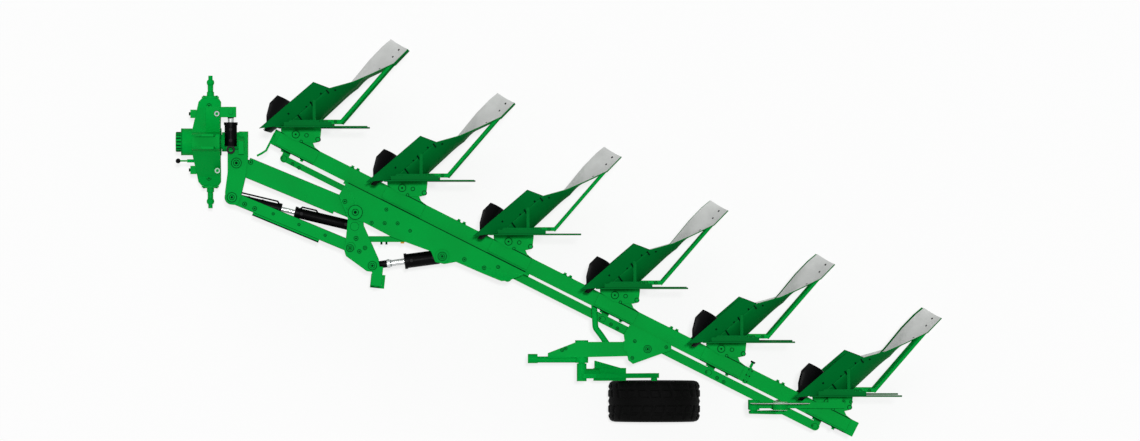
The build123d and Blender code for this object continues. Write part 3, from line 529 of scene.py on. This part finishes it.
def paint_shade_line(first, last, offset, lift):
    """A dark line of painted shade along the beam between two stations, at a height over its middle."""
    middle = on_beam((first + last) / 2, offset)
    brick("frame", SHADE_PAINT, (*middle, BEAM_HEIGHT + lift), ((last - first) * MM, SHADE_STRIP_WIDTH, SHADE_STRIP_HEIGHT),
          BEAM_TURN)


for side in (1, -1):
    for number in BODIES:
        body_station = (number - 1) * SPACING
        for offset in LUG_SHADE_OFFSETS:
            paint_shade_line(body_station + LUG_EDGE_SHADE[0], body_station + LUG_EDGE_SHADE[1], offset, side * LUG_SHADE_LIFT)
    paint_shade_line(*PLATE_EDGE_SHADE, PLATE_SHADE_OFFSET, side * PLATE_SHADE_LIFT)

# %% The knob and screws near the beam's end, and the bent rod at its front
KNOB_HEIGHT = 0.9
PLATE_TOP = 0.934
SCREW_TOP = 0.9375
FRONT_ROD = [(-2.385, 0.863, 0.93), (-2.400, 0.832, 0.965), (-2.455, 0.722, 0.966), (-2.494, 0.697, 0.966),
             (-2.532, 0.677, 0.966)]

foot, neck, tip = [(*on_beam(4290, offset), KNOB_HEIGHT) for offset in (70, 112, 128)]
bar("frame", PAINT, foot, neck, 0.012)
bar("frame", SHADE_PAINT, neck, tip, 0.02)
for station in (4287, 4316):
    for offset in (-50, 0, 50):
        at = on_beam(station, offset)
        bar("frame", SHADE_PAINT, (*at, PLATE_TOP), (*at, SCREW_TOP), 0.007, 6)
pipe("frame", PAINT, FRONT_ROD, 0.009)

# %% [markdown]
# ### The consoles and bodies
# The same fittings sit at every body, above and below: the pivot's nut, three bolts on the console's
# plate, the clamp's bolts, and dark marks of painted shade for the slots in the mouldboard's back and the
# holes in its tail.

# %% Fittings of one body, in millimetres from its share's point
FIRST_TIP = Vector((-2.505, 0.894))
PIVOT_NUT = (299, -37)
PIVOT_NUT_LIFT = 0.127
PLATE_LIFT = 0.110
# x, y, radius of the head
PLATE_BOLTS = [(389, -45, 14), (485, -79, 17), (345, -95, 9)]
ROD_BOLTS = [(179, -235, 11), (267, -284, 11), (321, -318, 11)]
CLAMP_BOLTS = [(560, 68, 10), (640, 68, 10), (520, 68, 8)]
TAIL_HOLES = [(1168, 669, 9), (1118, 610, 9), (1009, 510, 9)]
# x, y, length, width
BACK_SLOTS = [(345, 99, 70, 13), (450, 204, 80, 13), (570, 325, 60, 13), (250, 132, 16, 14),
              (401, 189, 18, 14), (310, 60, 16, 14), (520, 300, 16, 14), (640, 330, 16, 14)]
SLOT_LINE = Vector((math.cos(math.radians(-53)), math.sin(math.radians(-53)), 0))
SLOT_THICKNESS = 0.004


def outer_face(nodes, x, y, side):
    """A point on the outer side of some pieces, with its normal towards the viewer."""
    place = surface(x, y, nodes, side)
    if place is None:
        return None
    z, normal, body = place
    return Vector((x, y, z)), normal if normal.z * side > 0 else -normal


def slot_mark(body, at, normal, length, width):
    """A dark plate of painted shade that lies on a curved face, where a slot is."""
    along = (SLOT_LINE - normal * SLOT_LINE.dot(normal)).normalized()
    turn = Matrix((along, normal.cross(along), normal)).transposed().to_4x4()
    size = Matrix.Diagonal((length * MM, width * MM, SLOT_THICKNESS, 1.0))
    bmesh.ops.create_cube(heap(body, SHADE_PAINT), size=1.0, matrix=Matrix.Translation(at) @ turn @ size)


for number in BODIES:
    point = FIRST_TIP + ALONG * (number - 1)
    left, base = point.x / MM, point.y / MM
    body = f"plough_body_{number}"
    board = f"mouldboards_{number}"
    for side in (1, -1):
        # the dark washers and bolt ends here are painted shade
        stack("frame", left + PIVOT_NUT[0], base + PIVOT_NUT[1], BEAM_HEIGHT + side * PIVOT_NUT_LIFT,
              [(PAINT, 21, 0, 12, 6), (SHADE_PAINT, 8, 0, 15, 12)], side)
        for dx, dy, radius in PLATE_BOLTS:
            stack(body, left + dx, base + dy, BEAM_HEIGHT + side * PLATE_LIFT,
                  [(SHADE_PAINT, radius + 4, -1, 2, 20), (PAINT, radius, 0, 11, 6)], side)
        for dx, dy, radius in CLAMP_BOLTS:
            bolt(left + dx, base + dy, radius, side, [f"console_{number}"])
        # the slots are dark plates of painted shade on the board
        for dx, dy, length, width in BACK_SLOTS:
            found = outer_face([board, f"shares_{number}"], point.x + dx * MM, point.y + dy * MM, side)
            if found:
                slot_mark(body, *found, length, width)
        for dx, dy, radius in TAIL_HOLES:
            found = outer_face([board], point.x + dx * MM, point.y + dy * MM, side)
            if found:
                at, normal = found
                # each hole is a thin black disc: painted shade
                bar(body, BLACK_PAINT, at - normal * 0.001, at + normal * 0.0012, radius * MM, 16)
    for dx, dy, radius in ROD_BOLTS:
        bolt(left + dx, base + dy, radius, nodes=["control_rod"])
print("bodies dressed:", len(BODIES))

# %% [markdown]
# ### Cylinders, arms and levers
# A pipe or a collar on a cylinder is placed by its distance along the line between the two pivots, and
# out from that line.

# %% Pipes and collars on the cylinders, and the strips at the lower arm
WIDTH_EYE = (-1.712, 0.084)
FRAME_EYE = (-0.976, -0.167)
LEVER_END = (-1.744, -0.085)
# body, then the stations where the pipe rises, bends down and ends
WIDTH_PIPES = [("width_rod", 52, 380, 405), ("width_barrel", 575, 715, 738)]
PIPE_LIFT = 0.02
PIPE_RADIUS = 0.007
COLLARS = (130, 250)
COLLAR_LENGTH = 16
COLLAR_RADIUS = 0.043
CROSS_BAR = (-1.42, -0.022, BEAM_HEIGHT)
CROSS_BAR_SCREWS = (-1.488, -1.446)
AMBER_MARK = (-1.312, -0.052, 0.868)
ARM_TURN = math.atan2(-414, 999)
STRIP_MIDDLE = 513
STRIP_LENGTH = 0.6
STRIP_DEPTH = 0.10
# finish, out from the lower arm's line, height of the middle, thickness
STRIPS = [(PAINT, -55, 0.88, 0.020), (SHADE_PAINT, -70, 0.87, 0.012)]


def beside(start, end, along, out, z):
    """A point along the line between two pivots, and out from it."""
    run = (Vector(end) - Vector(start)).normalized()
    across = Vector((-run.y, run.x))
    spot = Vector(start) + run * along * MM + across * out * MM
    return (spot.x, spot.y, z)


for body, first, bend, last in WIDTH_PIPES:
    high = BEAM_HEIGHT + PIPE_LIFT
    pipe(body, BLACK_PAINT, [beside(HEAD_LOWER, WIDTH_EYE, first, 30, BEAM_HEIGHT),
                             beside(HEAD_LOWER, WIDTH_EYE, first + 20, 56, high),
                             beside(HEAD_LOWER, WIDTH_EYE, bend, 56, high),
                             beside(HEAD_LOWER, WIDTH_EYE, last, 32, BEAM_HEIGHT)], PIPE_RADIUS)
for along in COLLARS:
    start, end = [beside(HEAD_LOWER, WIDTH_EYE, station, 0, BEAM_HEIGHT)
                  for station in (along, along + COLLAR_LENGTH)]
    bar("width_rod", BLACK_PAINT, start, end, COLLAR_RADIUS, 32)
brick("frame", PAINT, CROSS_BAR, (0.40, 0.05, 0.05))
for x in CROSS_BAR_SCREWS:
    bar("frame", SHADE_PAINT, (x, -0.04, BEAM_HEIGHT), (x, -0.068, BEAM_HEIGHT), 0.010, 6)
# the dark strip beside the green one is painted shade
for material, out, z, thickness in STRIPS:
    middle = beside(HEAD_LOWER, LEVER_END, STRIP_MIDDLE, out, z)
    brick("lower_arm", material, middle, (STRIP_LENGTH, thickness, STRIP_DEPTH), ARM_TURN)
brick("frame", AMBER_PLASTIC, AMBER_MARK, (0.03, 0.014, 0.02))
start, end = [beside(LEVER_CYLINDER, FRAME_EYE, station, 0, BEAM_HEIGHT) for station in (150, 162)]
bar("swing_rod", ZINCED, start, end, 0.034, 6)

# %% [markdown]
# ### The headstock
# It turns about an axis that runs lengthways. What lies to the left and right of it comes in pairs.

# %% Lever with its ball, fittings, end plates and the flange with its bolts
AXIS_Y = 0.795
LEVER = [(-3.04, 0.635, 0.895), (-3.12, 0.635, 0.895), (-3.185, 0.635, 0.895), (-3.196, 0.635, 0.895)]
BLOCK_OUT = 0.236
PLATE_OUT = 0.3765
PLATE_SCREWS_X = (-2.985, -2.949, -2.913, -2.877)
PLATE_SCREWS_Z = (0.615, 0.68)
FLANGE_BOLTS = 16
FLANGE_BOLT_CIRCLE = 0.078
HOUSING_SEAMS = (-3.166, -3.06, -3.0, -2.84)
HOUSING_RADIUS = 0.1138
SEAM_WIDTH = 0.004

pipe("headstock", PAINT, LEVER[:2], 0.014)
bar("headstock", PAINT, LEVER[1], LEVER[2], 0.007)
ball("headstock", BLACK_PAINT, LEVER[3], 0.021)
for side in (1, -1):
    y = AXIS_Y + side * BLOCK_OUT
    brick("headstock", PAINT, (-3.07, y, 0.77), (0.05, 0.07, 0.09))
    bar("headstock", SHADE_PAINT, (-3.095, y, 0.79), (-3.108, y, 0.79), 0.016, 6)
    y = AXIS_Y + side * PLATE_OUT
    brick("headstock", PAINT, (-2.931, y, 0.645), (0.143, 0.012, 0.10))
    for x in PLATE_SCREWS_X:
        for z in PLATE_SCREWS_Z:
            bar("headstock", SHADE_PAINT, (x, y + side * 0.006, z), (x, y + side * 0.014, z), 0.009, 6)
for step in range(FLANGE_BOLTS):
    angle = 2 * math.pi * step / FLANGE_BOLTS
    reach = Vector((0, math.cos(angle), math.sin(angle)))
    start = Vector((-3.212, AXIS_Y, BEAM_HEIGHT)) + reach * FLANGE_BOLT_CIRCLE
    bar("headstock", SHADE_PAINT, start, start + Vector((0.040, 0, 0)), 0.006, 8)
# dark rings of painted shade mark the housing's seams
for x in HOUSING_SEAMS:
    bar("headstock", SHADE_PAINT, (x, AXIS_Y, BEAM_HEIGHT), (x + SEAM_WIDTH, AXIS_Y, BEAM_HEIGHT),
        HOUSING_RADIUS, 64)
# a dark bar of painted shade on the headstock
brick("headstock", SHADE_PAINT, (-3.02, 0.84, 0.975), (0.09, 0.008, 0.012))

# %% [markdown]
# ### Coulters
# Each disc has six bolts around its hub, and the arms are held by two bolts on the last console.

# %% Bolts of the coulters' arms and hubs
ARM_BOLTS = [(2394, -1387), (2456, -1389)]
HUB = (1.856145, -1.396)
HUB_HEIGHTS = [("disc_lower", 0.33), ("disc_upper", 1.4)]
HUB_BOLTS = 6
HUB_BOLT_CIRCLE = 0.04

for x, y in ARM_BOLTS:
    bolt(x, y, 11)
for step in range(HUB_BOLTS):
    angle = 2 * math.pi * step / HUB_BOLTS
    x = HUB[0] + math.cos(angle) * HUB_BOLT_CIRCLE
    rise = math.sin(angle) * HUB_BOLT_CIRCLE
    for body, z in HUB_HEIGHTS:
        bar(body, SHADE_PAINT, (x, HUB[1] - 0.059, z + rise), (x, HUB[1] - 0.066, z + rise), 0.007, 6)

# %% All the heaps become pieces
for (body, material), bm in heaps.items():
    piece = piece_from(bm, f"fittings_{body}_{material.name}", body, [material])
    smooth_shade(piece.data)
print("pieces of fittings:", len(heaps))

# %% [markdown]
# ## The tyre's tread
# Blocks and grooves are one surface: the radius drops where a groove runs. It stands for the plain ring.

# %% The tyre's section, from its inner bead over the left side to the middle
WHEEL = Vector((0.8055, -1.389, 0.388))
AROUND = 288
# offset from the tyre's middle, radius
HALF_PROFILE = [(-0.1445, 0.208), (-0.158, 0.235), (-0.169, 0.275), (-0.1742, 0.310), (-0.1735, 0.335),
                (-0.168, 0.358), (-0.155, 0.374), (-0.1325, 0.3835), (-0.118, 0.386), (-0.106, 0.3875),
                (-0.098, 0.3875), (-0.090, 0.3875), (-0.060, 0.388), (-0.040, 0.388), (-0.034, 0.388),
                (-0.026, 0.388), (0.0, 0.388)]
PROFILE = HALF_PROFILE + [(-width, radius) for width, radius in reversed(HALF_PROFILE[:-1])]
GROOVE = 0.009
TREAD_FROM = 0.37
# the four grooves around the tyre, by their distance from its middle
MIDDLE_GROOVE = (0.026, 0.034)
SHOULDER_GROOVE = (0.098, 0.106)
SHOULDER = 0.15
# cuts across the tread come once in every 12 steps, and the two halves are shifted by 4
CUT_EVERY, CUT_STEPS, HALF_SHIFT = 12, 3, 4
SLANT = 40


def groove_depth(step, width):
    """How deep the tread is cut at a step around the wheel and a place across it."""
    lane = abs(width)
    for low, high in (MIDDLE_GROOVE, SHOULDER_GROOVE):
        if low <= lane <= high:
            return GROOVE
    if lane < MIDDLE_GROOVE[0] or lane > SHOULDER:
        return 0.0
    shift = HALF_SHIFT if width > 0 else 0
    return GROOVE if (step + shift + int(lane * SLANT)) % CUT_EVERY < CUT_STEPS else 0.0


# %% Tyre
bm = bmesh.new()
rings = []
for step in range(AROUND):
    angle = 2 * math.pi * step / AROUND
    ring = []
    for width, radius in PROFILE:
        r = radius - (groove_depth(step, width) if radius > TREAD_FROM else 0.0)
        spot = (WHEEL.x + r * math.sin(angle), WHEEL.y + width, WHEEL.z + r * math.cos(angle))
        ring.append(bm.verts.new(spot))
    rings.append(ring)
for here, there in zip(rings, rings[1:] + rings[:1]):
    for i in range(len(PROFILE) - 1):
        bm.faces.new((here[i], here[i + 1], there[i + 1], there[i]))
    bm.faces.new((here[-1], here[0], there[0], there[-1]))
bmesh.ops.recalc_face_normals(bm, faces=bm.faces)
tyre = piece_from(bm, "tyre_tread", body_with["tyre"], [RUBBER])
smooth_shade(tyre.data, math.radians(40))
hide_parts("tyre")
print("tyre faces:", len(tyre.data.polygons))

# %% [markdown]
# ## Floor, world and lamps
# The drawing has a pure white ground. The floor shows white to the camera and keeps a faint shadow. The
# drawing's colours hardly change from plate to plate, so the key lamp shines nearly straight down, and
# a weak, wide lamp from the side only parts the upright faces.

# %% What shows directly, in the floor and in the world
WHITE = (1.0, 1.0, 1.0, 1.0)
FLOOR_GREY = (0.9, 0.9, 0.9, 1.0)
GLOW_SHARE = 0.8
DIRECT_RAYS = ("Is Camera Ray", "Is Glossy Ray", "Is Transmission Ray")


def seen_directly(tree):
    """1 for a ray that shows its hit to the viewer, and 0 for one that only carries light."""
    path = tree.nodes.new("ShaderNodeLightPath")
    camera_ray, glossy_ray, glass_ray = [Sock(tree, path.outputs[name]) for name in DIRECT_RAYS]
    return (camera_ray + glossy_ray + glass_ray).maths("MINIMUM", 1.0)


def mixed_output(tree, kind, factor, unseen, seen):
    """Mixes two shaders by a factor into a new output node."""
    output = tree.nodes.new(kind)
    mix = tree.nodes.new("ShaderNodeMixShader")
    tree.links.new(factor.socket, mix.inputs[0])
    tree.links.new(unseen.outputs[0], mix.inputs[1])
    tree.links.new(seen.outputs[0], mix.inputs[2])
    tree.links.new(mix.outputs[0], output.inputs["Surface"])


# %% Floor
ground = bpy.data.materials.new("floor")
ground.use_nodes = True
ground.node_tree.nodes.clear()
shown = seen_directly(ground.node_tree)
matt = shown.node("ShaderNodeBsdfDiffuse", Color=FLOOR_GREY)
glow = shown.node("ShaderNodeEmission", Color=WHITE, Strength=1.0)
mixed_output(ground.node_tree, "ShaderNodeOutputMaterial", shown * GLOW_SHARE, matt, glow)

bm = bmesh.new()
bmesh.ops.create_grid(bm, x_segments=1, y_segments=1, size=60.0)
mesh = bpy.data.meshes.new("floor")
bm.to_mesh(mesh)
bm.free()
mesh.materials.append(ground)
floor = bpy.data.objects.new("floor", mesh)
floor.location.z = -0.001
bpy.context.scene.collection.objects.link(floor)

# %% World
SKY_LIGHT = 0.30

world = bpy.data.worlds.new("world")
bpy.context.scene.world = world
world.use_nodes = True
world.node_tree.nodes.clear()
shown = seen_directly(world.node_tree)
soft = shown.node("ShaderNodeBackground", Color=WHITE, Strength=SKY_LIGHT)
back = shown.node("ShaderNodeBackground", Color=WHITE, Strength=1.0)
mixed_output(world.node_tree, "ShaderNodeOutputWorld", shown, soft, back)

# %% Lamps
# name, turn in degrees, strength, width of the source in degrees
LAMPS = (("key", (-2, 1.5, 0), 2.0, 2), ("side", (-52, -20, 0), 0.35, 25))
for name, turn, strength, spread in LAMPS:
    lamp = bpy.data.lights.new(name, "SUN")
    lamp.energy = strength
    lamp.angle = math.radians(spread)
    holder = bpy.data.objects.new(name, lamp)
    holder.rotation_euler = [math.radians(t) for t in turn]
    holder.location.z = 10
    bpy.context.scene.collection.objects.link(holder)

bpy.context.scene.view_settings.view_transform = "Standard"
